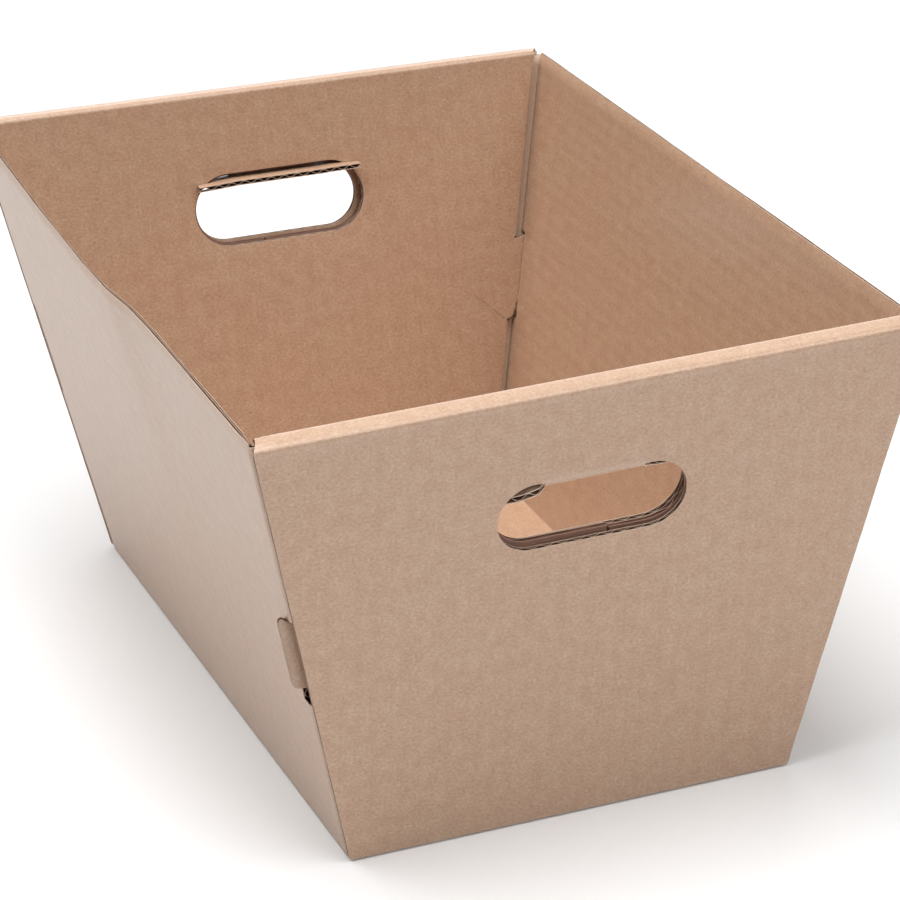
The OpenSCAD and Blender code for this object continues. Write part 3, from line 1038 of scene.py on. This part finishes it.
kraft = paper("kraft_liner", tan=rgb(181, 148, 122), red=rgb(181, 141, 116), green=rgb(179, 151, 125),
              pale=rgb(216, 198, 180), torn=rgb(134, 97, 81),
              speckle=0.23, roughness=0.33, bump=0.1, gloss=0.8)
medium = paper("fluting_paper", tan=rgb(112, 81, 67), red=rgb(106, 74, 60), green=rgb(114, 85, 71),
               pale=rgb(204, 180, 160), torn=rgb(104, 75, 63),
               speckle=0.15, roughness=0.75, bump=0.2, gloss=0.2)
print("finishes:", kraft.name, medium.name)

# %% [markdown]
# ## Meshes
# Whole arrays go into each mesh at once. Faces are smooth, and edges sharper than the angle below stay crisp.

# %% Meshes
crisp_angle = np.radians(35)


def piece(name, shell, finish):
    """A mesh object from a welded shell, with its map of the flat sheet and its paleness: wear, painted
    highlight and painted light.
    """
    mesh = bpy.data.meshes.new(name)
    count = len(shell.faces)
    mesh.vertices.add(len(shell.points))
    mesh.vertices.foreach_set("co", (shell.points * MM).astype(np.float32).ravel())
    mesh.loops.add(4 * count)
    mesh.loops.foreach_set("vertex_index", shell.faces.astype(np.int32).ravel())
    mesh.polygons.add(count)
    mesh.polygons.foreach_set("loop_start", np.arange(0, 4 * count, 4, dtype=np.int32))
    mesh.update(calc_edges=True)
    mesh.uv_layers.new(name="blank").data.foreach_set("uv", (shell.flat * MM).astype(np.float32).ravel())
    wear = mesh.attributes.new("wear", "FLOAT", "CORNER")
    wear.data.foreach_set("value", shell.wear.astype(np.float32).ravel())
    mesh.polygons.foreach_set("use_smooth", np.ones(count, bool))
    mesh.set_sharp_from_angle(angle=crisp_angle)
    mesh.materials.append(finish)
    made = bpy.data.objects.new(name, mesh)
    scene.collection.objects.link(made)
    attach(made, "root")
    print(name, "faces:", count, "valid:", not mesh.validate())
    return made


shells = {"outer_liner": (liners[0], kraft), "inner_liner": (liners[1], kraft),
          "end_fluting": (end_core, medium), "side_fluting": (side_core, medium)}
for name, (shell, finish) in shells.items():
    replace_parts(piece(name, shell, finish), "tray")

# %% [markdown]
# ## Floor, light and camera
# The tray stands on a plain pale floor in soft studio light: a broad lamp above and weaker ones in front and
# behind. The camera is a long lens from the front left, a little above the rim.

# %% Floor
floor_level, floor_half = -0.2 * MM, 6.0
ends = -floor_half, floor_half
floor_corners = [(x, y, floor_level) for x in ends for y in ends]
floor_mesh = bpy.data.meshes.new("floor")
floor_mesh.from_pydata(floor_corners, [], [(0, 2, 3, 1)])
studio_floor = bpy.data.objects.new("floor", floor_mesh)
scene.collection.objects.link(studio_floor)
floor_paint = bpy.data.materials.new("floor_paint")
floor_paint.use_nodes = True
floor_shader = floor_paint.node_tree.nodes["Principled BSDF"]
floor_looks = {"Base Color": (0.76, 0.76, 0.76, 1.0), "Roughness": 0.9,
               "Emission Color": (1.0, 1.0, 1.0, 1.0), "Emission Strength": 0.06}
for name, value in floor_looks.items():
    floor_shader.inputs[name].default_value = value
floor_mesh.materials.append(floor_paint)
print("floor, m across:", 2 * floor_half)

# %% Light
world = bpy.data.worlds.new("studio")
scene.world = world
world.use_nodes = True
background = world.node_tree.nodes["Background"]
background.inputs["Color"].default_value = (1.0, 1.0, 1.0, 1.0)
background.inputs["Strength"].default_value = 0.05
lamp_size, lamp_target = 1.8, Vector((0.0, 0.0, 0.1))
lamps = {"top_lamp": ((-0.5, 0.0, 2.2), 73.0), "front_lamp": ((0.6, -1.5, 1.8), 28.0),
         "back_lamp": ((0.8, 2.2, 1.1), 20.0)}
for name, (place, power) in lamps.items():
    light = bpy.data.lights.new(name, "AREA")
    light.shape, light.size, light.energy = "SQUARE", lamp_size, power
    made = bpy.data.objects.new(name, light)
    made.location = place
    made.rotation_mode = "QUATERNION"
    made.rotation_quaternion = (lamp_target - Vector(place)).to_track_quat("-Z", "Y")
    scene.collection.objects.link(made)
scene.view_settings.view_transform = "Standard"
print("lamps:", *lamps)

# %% Camera
camera_data = bpy.data.cameras.new("camera")
camera = bpy.data.objects.new("camera", camera_data)
scene.collection.objects.link(camera)
right, down = Vector((0.92943, -0.36804, -0.02658)), Vector((-0.17426, -0.37429, -0.91079))
forward = Vector((0.32526, 0.85115, -0.41201))
turned = Matrix((right, -down, -forward)).transposed().to_4x4()
camera.matrix_world = Matrix.Translation((-0.56709, -1.51605, 0.82891)) @ turned
camera_data.sensor_width = 36.0
camera_data.lens = 163.41
camera_data.clip_end = 50.0
scene.camera = camera
print("camera at", [round(c, 3) for c in camera.matrix_world.translation])
